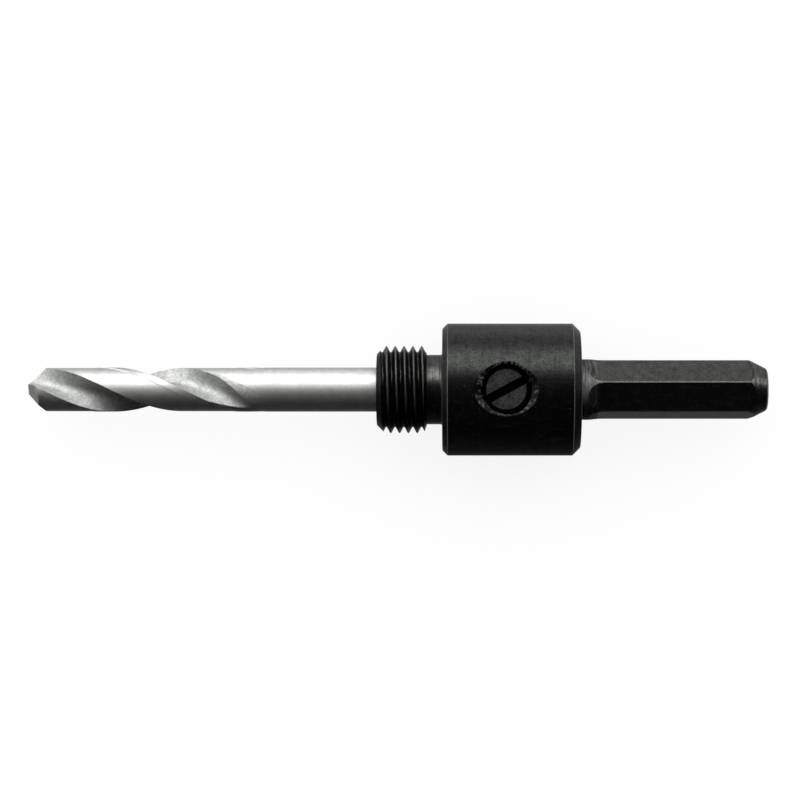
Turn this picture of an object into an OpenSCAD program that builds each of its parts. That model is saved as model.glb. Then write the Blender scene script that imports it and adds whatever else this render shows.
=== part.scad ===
// Hole saw arbor: a one-piece body with a threaded nose, a collar and a hex shank,
// a twist pilot drill in its bore, and a slotted set screw that clamps the drill.
// Millimetres. The arbor's axis is X, the drill points to -X and the set screw faces +Z.
// The origin is the centre of the collar's seating face, on the axis.

/* [Collar] */
// Outside diameter of the collar
collar_d = 19; // [17:0.5:26]
// Length of the collar along the arbor
collar_l = 19.8; // [18:0.1:26]
// Chamfer round the collar's seating face
collar_front_chamfer = 0.75; // [0.3:0.05:1.5]
// Chamfer round the collar's back face
collar_back_chamfer = 1.1; // [0.3:0.05:1.5]

/* [Threaded nose] */
// Major diameter of the nose that the saw screws onto
nose_d = 12.7; // [12:0.1:15]
// Length of the threaded nose
nose_l = 7.2; // [5:0.1:12]
// Lead chamfer at the front of the nose
nose_lead = 0.95; // [0.4:0.05:1.4]
// Chamfer where the thread ends over the relief neck
nose_back_chamfer = 0.8; // [0.3:0.05:1.2]
// Diameter of the relief neck behind the thread
relief_d = 10; // [8.5:0.1:11]
// Length of the relief neck
relief_l = 2.2; // [2.1:0.1:4]

/* [Shank] */
// Diameter of the turned bar that the hex is milled from
shank_d = 8.66; // [8.4:0.02:9]
// Length of the shank behind the collar
shank_l = 26.9; // [20:0.1:40]
// Distance across the hex flats
hex_af = 7.7; // [7.4:0.02:8]
// Distance from the collar's back face to the flats at their full depth
hex_setback = 3.27; // [2.5:0.05:6]
// Radius of the cutter that leaves the run-out at the start of each flat
hex_cutter_r = 5; // [3:0.5:8]
// Angle of the first hex corner, from +Z towards +Y
hex_turn = 14.3; // [0:0.1:59.9]
// Diameter of the shank's end face
shank_tip_d = 5.9; // [4.5:0.1:7]
// Length of the shank's end chamfer
shank_tip_l = 2.76; // [1:0.02:5]

/* [Pilot drill] */
// Diameter of the pilot drill
drill_d = 6.35; // [5.5:0.05:7]
// Length of drill that stands out in front of the nose
drill_reach = 50.2; // [40:0.1:80]
// Length of drill shank that is held in the body
drill_grip = 26; // [16:0.1:26.5]
// Length of the flutes, with their run-out
flute_l = 34; // [24:0.5:38]
// Length over which the flutes run out
runout_l = 10; // [4:0.5:14]
// Axial length of one turn of the helix
helix_pitch = 40.5; // [30:0.5:60]
// Angle of the first leading edge at the tip, from +Z towards +Y
drill_turn = 20.9; // [0:0.1:359.9]
// Angle that a flute takes up, from a leading edge to the next heel
flute_angle = 84; // [60:1:100]
// Thickness of the web at the tip
web_t = 1.3; // [0.8:0.05:1.8]
// Growth of the web's thickness for each millimetre of flute
web_taper = 0.015; // [0:0.005:0.03]
// Width of the margin along the leading edge, measured round the drill
margin_w = 1.1; // [0.4:0.05:1.5]
// Depth of the body clearance behind the margin
margin_h = 0.1; // [0.03:0.01:0.2]
// Point angle across the lips
point_angle = 126; // [110:1:145]
// Relief angle of the flank behind each lip
lip_relief = 17; // [8:1:24]
// Slope of the heel clearance behind the flank
heel_relief = 47; // [35:1:55]
// Distance from the axis at which the heel clearance meets the tip
heel_start = 0.65; // [0.2:0.05:1]
// Chamfer on the drill's shank end
drill_end_chamfer = 0.4; // [0.1:0.1:1]

/* [Set screw] */
// Thread diameter of the set screw
screw_d = 8; // [6:0.5:8]
// Distance of the set screw behind the seating face
screw_x = 9.1; // [7:0.1:11]
// Depth of the screw's face below the collar's crown
screw_recess = 1.5; // [0.8:0.1:2]
// Diameter of the flat face around the slot
screw_face_d = 5.65; // [4:0.05:5.8]
// Diameter of the flat point that presses on the drill
screw_point_d = 5.5; // [3.5:0.1:5.8]
// Width of the screwdriver slot
slot_w = 1.25; // [0.8:0.05:1.6]
// Depth of the screwdriver slot
slot_depth = 1.7; // [1:0.1:2]
// Angle of the slot, from +X towards +Y
slot_turn = 28.5; // [0:0.5:180]
// Diameter of the tapping drill
tap_drill_d = 6.8; // [5:0.1:7]
// Diameter of the countersink at the collar's crown
countersink_d = 9.15; // [8.3:0.05:10.5]

/* [Fits] */
// Radial clearance of the drill in its bore
drill_clearance = 0.04; // [0.02:0.01:0.1]
// Radial clearance of the set screw in its hole
screw_clearance = 0.05; // [0.02:0.01:0.1]
// Gap between the screw's point and the drill
clamp_gap = 0.02; // [0.01:0.01:0.1]
// Gap behind the drill at the bottom of its bore
bore_end_gap = 0.2; // [0.1:0.1:0.4]
// Chamfer at the mouth of the drill's bore
bore_mouth_chamfer = 0.35; // [0.1:0.05:0.6]

/* [Hidden] */
$fn = 96;

// Overlap that keeps a cutting shape clear of the face that it cuts
cut = 1;
// Included angle of a common drill point, which forms the bottom of the bore
bore_point_angle = 118;
// Colours of black-oxide steel and of bright ground steel
black_oxide = [0.13, 0.135, 0.13];
bright_steel = [0.72, 0.73, 0.72];

collar_r = collar_d / 2;
nose_r = nose_d / 2;
relief_r = relief_d / 2;
shank_r = shank_d / 2;
nose_back_x = -relief_l;
nose_front_x = nose_back_x - nose_l;
shank_end_x = collar_l + shank_l;

drill_r = drill_d / 2;
drill_l = drill_reach + drill_grip;
drill_tip_x = nose_front_x - drill_reach;
bore_r = drill_r + drill_clearance;
bore_l = drill_grip + bore_end_gap;
bore_point_l = bore_r / tan(bore_point_angle / 2);

screw_top_z = collar_r - screw_recess;
screw_bottom_z = drill_r + clamp_gap;
screw_l = screw_top_z - screw_bottom_z;
screw_r = screw_d / 2 - screw_clearance;
// Full thread starts this far above the axis, a little under the screw's point
tapped_z = screw_bottom_z - 0.5;

// Turned outline of the nose, the relief neck and the collar, as [radius, distance along the axis]
front_outline = [
    [0, nose_front_x],
    [nose_r - nose_lead, nose_front_x],
    [nose_r, nose_front_x + nose_lead],
    [nose_r, nose_back_x - nose_back_chamfer],
    [nose_r - nose_back_chamfer, nose_back_x],
    [relief_r, nose_back_x],
    [relief_r, 0],
    [collar_r - collar_front_chamfer, 0],
    [collar_r, collar_front_chamfer],
    [collar_r, collar_l - collar_back_chamfer],
    [collar_r - collar_back_chamfer, collar_l],
    [0, collar_l]
];

// Turned outline of the shank, which starts inside the collar
shank_outline = [
    [0, collar_l - cut],
    [shank_r, collar_l - cut],
    [shank_r, shank_end_x - shank_tip_l],
    [shank_tip_d / 2, shank_end_x],
    [0, shank_end_x]
];

// Lays a shape that was turned about Z along the arbor's X axis
module along_axis() {
    rotate([0, 90, 0]) children();
}

// Space that the milling cutter clears over one hex flat, with the round run-out at its start
module flat_cut() {
    flat_x = collar_l + hex_setback;
    flat_z = hex_af / 2;
    translate([flat_x, 0, flat_z + hex_cutter_r])
        rotate([90, 0, 0])
            cylinder(r = hex_cutter_r, h = shank_d, center = true);
    translate([flat_x, -shank_r, flat_z])
        cube([shank_end_x - flat_x + cut, shank_d, hex_cutter_r]);
}

// Blind bore for the drill's shank, with its mouth chamfer and drilled bottom
module drill_bore() {
    translate([nose_front_x, 0, 0]) along_axis() {
        translate([0, 0, -cut])
            cylinder(r = bore_r, h = bore_l + cut);
        translate([0, 0, bore_l])
            cylinder(r1 = bore_r, r2 = 0, h = bore_point_l);
        translate([0, 0, -cut])
            cylinder(r1 = bore_r + bore_mouth_chamfer + cut, r2 = bore_r, h = bore_mouth_chamfer + cut);
    }
}

// Tapped hole from the collar's crown down to the bore, with its countersink
module tapped_hole() {
    translate([screw_x, 0, 0]) {
        cylinder(d = tap_drill_d, h = collar_r + cut);
        translate([0, 0, tapped_z])
            cylinder(d = screw_d, h = collar_r - tapped_z + cut);
        translate([0, 0, collar_r - countersink_d / 2])
            cylinder(r1 = 0, r2 = countersink_d / 2 + cut, h = countersink_d / 2 + cut);
    }
}

// Turned shank with its six milled flats
module shank() {
    difference() {
        along_axis() rotate_extrude() polygon(shank_outline);
        for (i = [0:5])
            rotate([-hex_turn - 30 - 60 * i, 0, 0]) flat_cut();
    }
}

module arbor_body() {
    color(black_oxide)
    difference() {
        union() {
            along_axis() rotate_extrude() polygon(front_outline);
            shank();
        }
        drill_bore();
        tapped_hole();
    }
}

module set_screw() {
    face_chamfer = screw_r - screw_face_d / 2;
    point_chamfer = screw_r - screw_point_d / 2;
    color(black_oxide)
    translate([screw_x, 0, screw_bottom_z])
    difference() {
        rotate_extrude() polygon([
            [0, 0],
            [screw_point_d / 2, 0],
            [screw_r, point_chamfer],
            [screw_r, screw_l - face_chamfer],
            [screw_face_d / 2, screw_l],
            [0, screw_l]
        ]);
        rotate([0, 0, slot_turn])
            translate([-screw_d, -slot_w / 2, screw_l - slot_depth])
                cube([2 * screw_d, slot_w, slot_depth + cut]);
    }
}

// The drill is built about Z with its tip at the origin and its shank below.
// A section's angle 0 is the outer corner of the first leading edge, and the flute lies ahead of it.

// Distance between the rings of the fluted length
ring_step = 0.8;
// Steps round a section: across a flute, over a land, and over a margin
flute_steps = 18;
land_steps = 9;
margin_steps = 3;
// Steps along each of the three stretches of a flute's outline
outline_steps = 14;
// Angle of the ramp between the body clearance and the margin
margin_ramp = 1.5;
// Direction in which the grinding wheel leaves the flute, from the lip, and how far it goes
lift_angle = 30;
lift_full = 3.4;
// Length over which the body clearance fades out behind the flutes
clearance_fade = 2;
// How far the ground lands end under the surface of the plain shank
shank_step = 0.02;

// Distance from the axis of the point in the flute's mouth from which its outline is swept
mouth_r = 1.6 * drill_r;

margin_angle = margin_w / drill_r * 180 / PI;
ring_count = ceil(flute_l / ring_step);

function bezier(p0, p1, p2, p3, t) =
    p0 * pow(1 - t, 3) + p1 * 3 * t * pow(1 - t, 2) + p2 * 3 * t * t * (1 - t) + p3 * pow(t, 3);

function turned(p, a) = [p.x * cos(a) - p.y * sin(a), p.x * sin(a) + p.y * cos(a)];

// Share of the full grinding at a distance behind the tip, from 1 along the flutes to 0 at the plain shank
function ground_at(d) = min(1, max(0, flute_l - d) / clearance_fade);

// Radius over the margins, and radius of the cleared land between them
function margin_r_at(d) = drill_r - shank_step * (1 - ground_at(d));
function land_r_at(d) = margin_r_at(d) - margin_h * ground_at(d);

// How far the grinding wheel has lifted at a distance behind the tip
function lift_at(d) = lift_full * pow(max(0, d - flute_l + runout_l) / runout_l, 2);

// Outline of one flute: in along the straight lip, round the floor, and out over the heel.
// The middle of the flute's mouth lies along X.
function flute_outline(d) =
    let (
        half_web = (web_t + web_taper * d) / 2,
        lip = asin(half_web / drill_r),
        heel = lip + flute_angle,
        corner = [1.3 * drill_r, half_web],
        floor_start = [0.45 * drill_r, half_web],
        heel_point = (drill_r - margin_h) * [cos(heel), sin(heel)],
        heel_out = 1.35 * drill_r * [cos(heel - 4), sin(heel - 4)],
        lift = lift_at(d) * [cos(lift_angle), sin(lift_angle)],
        curve = concat(
            [for (i = [0:outline_steps - 1]) corner + (floor_start - corner) * i / outline_steps],
            [for (i = [0:outline_steps - 1]) bezier(
                floor_start,
                [0, half_web],
                [-0.4 * drill_r, 0.36 * drill_r],
                heel_point,
                i / outline_steps)],
            [for (i = [0:outline_steps]) heel_point + (heel_out - heel_point) * i / outline_steps]
        )
    )
    [for (p = curve) turned(p + lift, -lip - flute_angle / 2)];

// Direction and distance of a point as seen from the flute's mouth
function seen(p) = [atan2(p.y, mouth_r - p.x), norm(p - [mouth_r, 0])];

// Distance from the flute's mouth to the near side of a circle round the axis
function round_at(a, r) = mouth_r * cos(a) - sqrt(max(0, r * r - pow(mouth_r * sin(a), 2)));

// Points across one flute, from the leading edge to the heel
function flute_points(d) =
    let (
        outline = [for (p = flute_outline(d)) seen(p)],
        half = flute_angle / 2,
        land_r = land_r_at(d),
        edge = margin_r_at(d) * [cos(half), -sin(half)],
        heel = land_r * [cos(half), sin(half)],
        from = seen(edge)[0],
        to = seen(heel)[0]
    )
    concat(
        [turned(edge, half)],
        [for (i = [1:flute_steps - 1])
            let (
                a = from + (to - from) * i / flute_steps,
                reach = max(round_at(a, land_r), lookup(a, outline))
            )
            turned([mouth_r - reach * cos(a), reach * sin(a)], half)],
        [turned(heel, half)]
    );

function round_point(r, a) = [r * cos(a), r * sin(a)];

// Points of one half of the section, from a leading edge to the next one
function half_section(d) =
    let (margin_start = 180 - margin_angle)
    concat(
        flute_points(d),
        [for (i = [1:land_steps])
            round_point(land_r_at(d), flute_angle + (margin_start - flute_angle) * i / land_steps)],
        [for (i = [0:margin_steps - 1])
            round_point(margin_r_at(d), margin_start + margin_ramp + (margin_angle - margin_ramp) * i / margin_steps)]
    );

// Ring of points at a distance behind the tip
function drill_ring(d) =
    let (half = half_section(d), phase = drill_turn - 360 * d / helix_pitch)
    [for (side = [0, 180], p = half) let (q = turned(p, side + phase)) [q.x, q.y, -d]];

module fluted_length() {
    rings = [for (i = [0:ring_count]) drill_ring(flute_l * i / ring_count)];
    n = len(rings[0]);
    polyhedron(
        points = [for (ring = rings, p = ring) p],
        faces = concat(
            [[for (j = [n - 1:-1:0]) j]],
            [for (i = [0:ring_count - 1], j = [0:n - 1])
                let (k = (j + 1) % n)
                [i * n + j, i * n + k, (i + 1) * n + k]],
            [for (i = [0:ring_count - 1], j = [0:n - 1])
                let (k = (j + 1) % n)
                [i * n + j, (i + 1) * n + k, (i + 1) * n + j]],
            [[for (j = [0:n - 1]) ring_count * n + j]]
        ),
        convexity = 8
    );
}

// Everything in front of a plane that rises away from the tip: along_x and along_y are its slopes,
// and it passes through the point [0, start_y] at the tip
module beyond_plane(along_x, along_y, start_y) {
    size = 4 * drill_d;
    tilt = atan(norm([along_x, along_y]));
    translate([0, start_y, 0])
        rotate([0, 0, atan2(along_y, along_x)])
            rotate([0, tilt, 0])
                translate([-size / 2, -size / 2, 0])
                    cube(size);
}

// Flank and heel clearance behind each lip, which meet in the chisel edge
module point_grind() {
    lip_depth = drill_r / tan(point_angle / 2);
    section_turn = drill_turn - asin(web_t / drill_d) - 180 * lip_depth / helix_pitch;
    for (side = [0, 180])
        rotate([0, 0, section_turn + side]) {
            beyond_plane(1 / tan(point_angle / 2), -tan(lip_relief), 0);
            beyond_plane(0, -tan(heel_relief), -heel_start);
        }
}

module pilot_drill() {
    color(bright_steel)
    translate([drill_tip_x, 0, 0])
    rotate([0, -90, 0]) {
        difference() {
            fluted_length();
            point_grind();
        }
        translate([0, 0, -drill_l])
            cylinder(r1 = drill_r - drill_end_chamfer, r2 = drill_r, h = drill_end_chamfer);
        translate([0, 0, drill_end_chamfer - drill_l])
            cylinder(r = drill_r, h = drill_l - drill_end_chamfer - flute_l);
    }
}

arbor_body();
pilot_drill();
set_screw();
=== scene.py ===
"""Looks of a hole saw arbor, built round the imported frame.

The arbor lies along X with its pilot drill towards -X and its set screw on top. It rests on its collar.
Sizes are written in millimetres and become metres when a mesh is made.
"""

import logging
import math
from dataclasses import dataclass, field
from enum import Enum
from typing import Callable, Sequence

import bmesh
import bpy
from mathutils import Matrix, Vector


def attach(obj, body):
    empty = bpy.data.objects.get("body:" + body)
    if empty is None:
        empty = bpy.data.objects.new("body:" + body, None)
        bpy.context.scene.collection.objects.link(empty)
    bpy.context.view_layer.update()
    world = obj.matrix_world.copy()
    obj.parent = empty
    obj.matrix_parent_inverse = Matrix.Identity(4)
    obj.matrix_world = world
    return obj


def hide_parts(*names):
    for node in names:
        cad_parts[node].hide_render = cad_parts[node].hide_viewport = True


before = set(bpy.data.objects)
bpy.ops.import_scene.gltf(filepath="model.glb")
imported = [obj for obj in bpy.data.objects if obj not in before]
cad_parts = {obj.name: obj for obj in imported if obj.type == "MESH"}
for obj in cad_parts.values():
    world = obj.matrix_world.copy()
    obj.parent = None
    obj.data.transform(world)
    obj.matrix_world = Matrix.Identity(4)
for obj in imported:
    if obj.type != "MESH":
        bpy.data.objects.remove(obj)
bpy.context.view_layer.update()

logging.basicConfig(level=logging.INFO, format="%(message)s")
LOG = logging.getLogger("arbor")

MM = 0.001
# The wear attribute holds real wear and the drill's coarseness, and on the arbor and the screw also painted
# highlights of bare metal and painted shade as negative values.
WEAR = "wear"
GLOW = "glow"


class Body(Enum):
    """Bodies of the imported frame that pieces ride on."""

    ARBOR = "arbor"
    DRILL = "drill"
    SCREW = "screw"


class Node(Enum):
    """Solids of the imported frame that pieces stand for."""

    ARBOR_BODY = "arbor_body"
    PILOT_DRILL = "pilot_drill"
    SET_SCREW = "set_screw"


class Slot(Enum):
    """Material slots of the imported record."""

    BLACK_OXIDE = "black_oxide_steel"
    BRIGHT = "bright_steel"


class Axis(Enum):
    """Axis that a round piece is turned about."""

    ARBOR = "x"
    SCREW = "z"


@dataclass(frozen=True)
class Station:
    """One ring of a turned surface.

    Attributes:
        along: Place along the axis.
        radius: Radius there, or a function of place and angle.
        wear: How far the finish is worn through there, from 0 to 1, or a function of place and angle. Some
            of this bare metal is a painted highlight. Below 0 it is painted shade: it tells how far the
            gloss is dimmed. On the drill it tells how coarsely the steel is ground.
    """

    along: float
    radius: float | Callable[[float, float], float]
    wear: float | Callable[[float, float], float] = 0.0

    def radius_at(self, angle: float) -> float:
        """Returns the radius at an angle round the axis, in radians."""
        return self.radius(self.along, angle) if callable(self.radius) else self.radius

    def wear_at(self, angle: float) -> float:
        """Returns the wear at an angle round the axis, in radians."""
        return self.wear(self.along, angle) if callable(self.wear) else self.wear


@dataclass(frozen=True)
class Thread:
    """A right-hand 60 degree thread.

    Attributes:
        crest_r: Radius over the crests.
        root_r: Radius at the roots.
        pitch: Distance from crest to crest.
        start: Place of a crest at angle 0.
        crest_share: Share of the pitch that is flat on the crest.
        root_share: Share of the pitch that is flat at the root.
    """

    crest_r: float
    root_r: float
    pitch: float
    start: float
    crest_share: float = 0.12
    root_share: float = 0.14

    def radius_at(self, along: float, turn: float) -> float:
        """Gives the thread's radius.

        Args:
            along: Place along the axis.
            turn: Angle round the axis by the right-hand rule, in radians.

        Returns:
            The radius, between the root's and the crest's.
        """
        place = (along - self.start) / self.pitch - turn / math.tau
        from_root = 1 - 2 * abs(place - round(place))
        height = (from_root - self.root_share) / (1 - self.root_share - self.crest_share)
        return self.root_r + (self.crest_r - self.root_r) * min(1.0, max(0.0, height))


def interpolate(table: Sequence[tuple[float, float]], key: float) -> float:
    """Looks a value up in a table.

    Args:
        table: Pairs of key and value, sorted by key.
        key: The key to look up.

    Returns:
        The value, interpolated between its neighbours and held at the ends.
    """
    if key <= table[0][0]:
        return table[0][1]
    for (low, before), (high, after) in zip(table, table[1:]):
        if key <= high:
            return before + (after - before) * (key - low) / max(1e-12, high - low)
    return table[-1][1]


def rounded_outline(
    corners: Sequence[tuple[float, float, float]], steps: int = 4, wear: float = 0.2
) -> list[Station]:
    """Rounds the corners of a turned outline.

    Args:
        corners: Place, radius and edge rounding of each corner, in order.
        steps: Stations on each rounded corner.
        wear: How far the finish is worn on the rounded corners.

    Returns:
        The outline's stations.
    """
    stations: list[Station] = []
    for index, (along, radius, rounding) in enumerate(corners):
        if rounding <= 0 or index in (0, len(corners) - 1):
            stations.append(Station(along, radius))
            continue
        corner = Vector((along, radius))
        before = Vector(corners[index - 1][:2]) - corner
        after = Vector(corners[index + 1][:2]) - corner
        reach = min(rounding, before.length * 0.45, after.length * 0.45)
        start = corner + before.normalized() * reach
        end = corner + after.normalized() * reach
        for step in range(steps + 1):
            t = step / steps
            point = start * (1 - t) ** 2 + corner * 2 * t * (1 - t) + end * t * t
            stations.append(Station(point.x, point.y, wear * math.sin(math.pi * t)))
    return stations


def wrap_grid(
    rings: int, around: int, place: Callable[[int, int], tuple[Vector, float]]
) -> bmesh.types.BMesh:
    """Wraps a grid into a closed skin, with its long seam and its poles welded.

    Args:
        rings: Number of rings.
        around: Number of points round a ring.
        place: Gives the position in millimetres and the wear of a ring's point.

    Returns:
        The skin as a bmesh in metres, with faces outward.
    """
    bm = bmesh.new()
    wear = bm.verts.layers.float.new(WEAR)
    bmesh.ops.create_grid(bm, x_segments=rings - 1, y_segments=around, size=1.0)
    for vert in bm.verts:
        ring = round((vert.co.x + 1) / 2 * (rings - 1))
        step = round((vert.co.y + 1) / 2 * around)
        point, worn = place(ring, step % around)
        vert.co = point * MM
        vert[wear] = worn
    bmesh.ops.remove_doubles(bm, verts=bm.verts, dist=1e-7)
    bmesh.ops.holes_fill(bm, edges=bm.edges, sides=0)
    bmesh.ops.recalc_face_normals(bm, faces=bm.faces)
    return bm


def turned_skin(
    stations: Sequence[Station],
    around: int,
    axis: Axis,
    centre: Vector | None = None,
    first_angle: float = 0.0,
) -> bmesh.types.BMesh:
    """Makes the skin of a turned piece.

    Args:
        stations: The outline's stations, from one end to the other.
        around: Number of points round each ring.
        axis: The axis that the piece is turned about.
        centre: Where the axis crosses the origin plane, in millimetres.
        first_angle: Angle of each ring's first point, in radians.

    Returns:
        The closed skin.
    """
    middle = centre or Vector((0, 0, 0))

    def place(ring: int, step: int) -> tuple[Vector, float]:
        """Places one point.

        Args:
            ring: Number of its ring.
            step: Number of the point in its ring.

        Returns:
            Its position in millimetres and its wear.
        """
        station = stations[ring]
        angle = first_angle + math.tau * step / around
        radius = station.radius_at(angle)
        if axis is Axis.ARBOR:
            point = Vector((station.along, radius * math.sin(angle), radius * math.cos(angle)))
        else:
            point = Vector((radius * math.cos(angle), radius * math.sin(angle), station.along))
        return point + middle, station.wear_at(angle)

    return wrap_grid(len(stations), around, place)


def finished_object(name: str, bm: bmesh.types.BMesh) -> bpy.types.Object:
    """Makes an object from a bmesh and frees it.

    Args:
        name: The object's name.
        bm: The mesh in metres, in its place.

    Returns:
        The object, at the origin.
    """
    mesh = bpy.data.meshes.new(name)
    bm.to_mesh(mesh)
    bm.free()
    made = bpy.data.objects.new(name, mesh)
    bpy.context.scene.collection.objects.link(made)
    return made


def carve(target: bpy.types.Object, cutter: bpy.types.Object) -> None:
    """Cuts a shape out of an object, and removes the cutter.

    Args:
        target: The object that is cut.
        cutter: The shape that is taken out of it.
    """
    modifier = target.modifiers.new("carve", "BOOLEAN")
    modifier.operation = "DIFFERENCE"
    modifier.solver = "EXACT"
    modifier.object = cutter
    depsgraph = bpy.context.evaluated_depsgraph_get()
    mesh = bpy.data.meshes.new_from_object(target.evaluated_get(depsgraph))
    target.modifiers.clear()
    uncut = target.data
    target.data = mesh
    bpy.data.meshes.remove(uncut)
    bpy.data.objects.remove(cutter)


def shade(target: bpy.types.Object, sharp_angle: float) -> None:
    """Shades an object smooth, with edges above an angle kept sharp.

    Args:
        target: The object.
        sharp_angle: The angle in degrees.
    """
    target.data.shade_smooth()
    target.data.set_sharp_from_angle(angle=math.radians(sharp_angle))


def dress(
    target: bpy.types.Object, material: bpy.types.Material, body: Body, node: Node
) -> None:
    """Gives a piece its finish and its place in the frame.

    Args:
        target: The piece.
        material: Its finish.
        body: The body that it rides on.
        node: The solid that it stands for.
    """
    target.data.materials.clear()
    target.data.materials.append(material)
    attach(target, body.value)
    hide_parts(node.value)
    target.data.calc_loop_triangles()
    LOG.info("%s: %d triangles", target.name, len(target.data.loop_triangles))


class Graph:
    """A short way to write a material's nodes."""

    def __init__(self, name: str) -> None:
        """Starts an empty material.

        Args:
            name: The material's name.
        """
        self.material = bpy.data.materials.new(name)
        self.material.use_nodes = True
        self.tree = self.material.node_tree
        self.tree.nodes.clear()

    def add(self, kind: str, settings: dict | None = None, **inputs: object) -> bpy.types.Node:
        """Adds a node.

        Args:
            kind: The node's type.
            settings: Its properties.
            **inputs: Its sockets by name, with _ for a space, as values or as sockets to link.

        Returns:
            The node.
        """
        node = self.tree.nodes.new(kind)
        for key, value in (settings or {}).items():
            setattr(node, key, value)
        for key, value in inputs.items():
            self.feed(node.inputs[key.replace("_", " ")], value)
        return node

    def feed(self, socket: bpy.types.NodeSocket, value: object) -> None:
        """Links a socket to another, or sets its value.

        Args:
            socket: The socket that is fed.
            value: The socket or the value that feeds it.
        """
        if isinstance(value, bpy.types.NodeSocket):
            self.tree.links.new(value, socket)
        else:
            socket.default_value = value

    def math(self, operation: str, *values: object, clamp: bool = False) -> bpy.types.NodeSocket:
        """Adds a math node.

        Args:
            operation: What it works out.
            *values: Its inputs, as sockets or numbers.
            clamp: Whether the result is held between 0 and 1.

        Returns:
            The result.
        """
        node = self.add("ShaderNodeMath", {"operation": operation, "use_clamp": clamp})
        for socket, value in zip(node.inputs, values):
            self.feed(socket, value)
        return node.outputs[0]

    def span(
        self, value: object, low: float, high: float, out_low: float = 0.0, out_high: float = 1.0
    ) -> bpy.types.NodeSocket:
        """Maps a value from one range to another, held at its ends.

        Args:
            value: The value.
            low: Start of its range.
            high: End of its range.
            out_low: What the start becomes.
            out_high: What the end becomes.

        Returns:
            The mapped value.
        """
        node = self.add(
            "ShaderNodeMapRange", None,
            Value=value, From_Min=low, From_Max=high, To_Min=out_low, To_Max=out_high,
        )
        return node.outputs[0]

    def noise(
        self, vector: object, scale: float, detail: float = 2.0, roughness: float = 0.5
    ) -> bpy.types.NodeSocket:
        """Adds a noise.

        Args:
            vector: Where it is read.
            scale: Size of its cells, as a number in a unit of the vector.
            detail: Number of finer layers.
            roughness: Strength of each finer layer.

        Returns:
            The noise, about 0.5 in the middle.
        """
        node = self.add(
            "ShaderNodeTexNoise", None, Vector=vector, Scale=scale, Detail=detail, Roughness=roughness
        )
        return node.outputs["Fac"]

    def tinted(self, colour: object, strength: object) -> bpy.types.NodeSocket:
        """Returns a colour made stronger or weaker."""
        node = self.add("ShaderNodeVectorMath", {"operation": "SCALE"}, Vector=colour, Scale=strength)
        return node.outputs[0]

    def blend(self, share: object, low: object, high: object) -> bpy.types.NodeSocket:
        """Mixes two colours.

        Args:
            share: Share of the second colour.
            low: The first colour.
            high: The second colour.

        Returns:
            The mixed colour.
        """
        node = self.add("ShaderNodeMix", {"data_type": "RGBA"})
        self.feed(node.inputs[0], share)
        self.feed(node.inputs[6], low)
        self.feed(node.inputs[7], high)
        return node.outputs[2]

    def attribute(self, name: str) -> bpy.types.NodeSocket:
        """Returns a mesh attribute's value."""
        return self.add("ShaderNodeAttribute", {"attribute_name": name}).outputs["Fac"]

    def turned(self, rings: float, sweep: float) -> tuple[bpy.types.NodeSocket, ...]:
        """Gives coordinates that run with the turning tool round X.

        Args:
            rings: Marks in a millimetre, along the axis and out from it.
            sweep: Changes in a turn round the axis.

        Returns:
            The coordinates, the plain position in millimetres, and its part along X.
        """
        position = self.add(
            "ShaderNodeVectorMath", {"operation": "SCALE"},
            Vector=self.add("ShaderNodeTexCoord").outputs["Object"], Scale=1 / MM,
        ).outputs[0]
        parts = self.add("ShaderNodeSeparateXYZ", None, Vector=position)
        x, y, z = parts.outputs
        square = self.math("ADD", self.math("MULTIPLY", y, y), self.math("MULTIPLY", z, z))
        radius = self.math("SQRT", square)
        steady = self.math("MAXIMUM", radius, 0.2)
        along = self.math("MULTIPLY", self.math("ADD", x, self.math("MULTIPLY", radius, 1.37)), rings)
        side = self.math("MULTIPLY", self.math("DIVIDE", y, steady), sweep)
        up = self.math("MULTIPLY", self.math("DIVIDE", z, steady), sweep)
        swept = self.add("ShaderNodeCombineXYZ", None, X=along, Y=side, Z=up).outputs[0]
        return swept, position, x

    def steps(
        self, value: object, start: float, changes: Sequence[tuple[float, float]]
    ) -> bpy.types.NodeSocket:
        """Gives a number that steps up or down where a value passes given places.

        Args:
            value: The value.
            start: The number below the first place.
            changes: Pairs of place and change.

        Returns:
            The number.
        """
        level: object = start
        for place, change in changes:
            level = self.math("MULTIPLY_ADD", self.span(value, place - 0.05, place + 0.05), change, level)
        return level

    def scratches(
        self, position: object, turn: Sequence[float], fine: float, long: float, floor: float
    ) -> bpy.types.NodeSocket:
        """Returns thin straight scratches.

        Args:
            position: Position in millimetres.
            turn: Turn of the scratches' direction, in degrees.
            fine: Scratches in a millimetre.
            long: Breaks in a millimetre along a scratch.
            floor: Noise level above which a scratch shows.

        Returns:
            A value of 1 on a scratch and 0 between.
        """
        mapped = self.add(
            "ShaderNodeMapping", None,
            Vector=position, Rotation=[math.radians(a) for a in turn], Scale=(long, fine, fine),
        ).outputs[0]
        return self.span(self.noise(mapped, 1.0, 1.0), floor, floor + 0.05)

    def finish(self, shader: bpy.types.Node) -> bpy.types.Material:
        """Connects a shader to the material's output.

        Args:
            shader: The shader's node.

        Returns:
            The material.
        """
        out = self.add("ShaderNodeOutputMaterial")
        self.tree.links.new(shader.outputs[0], out.inputs["Surface"])
        return self.material


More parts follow.
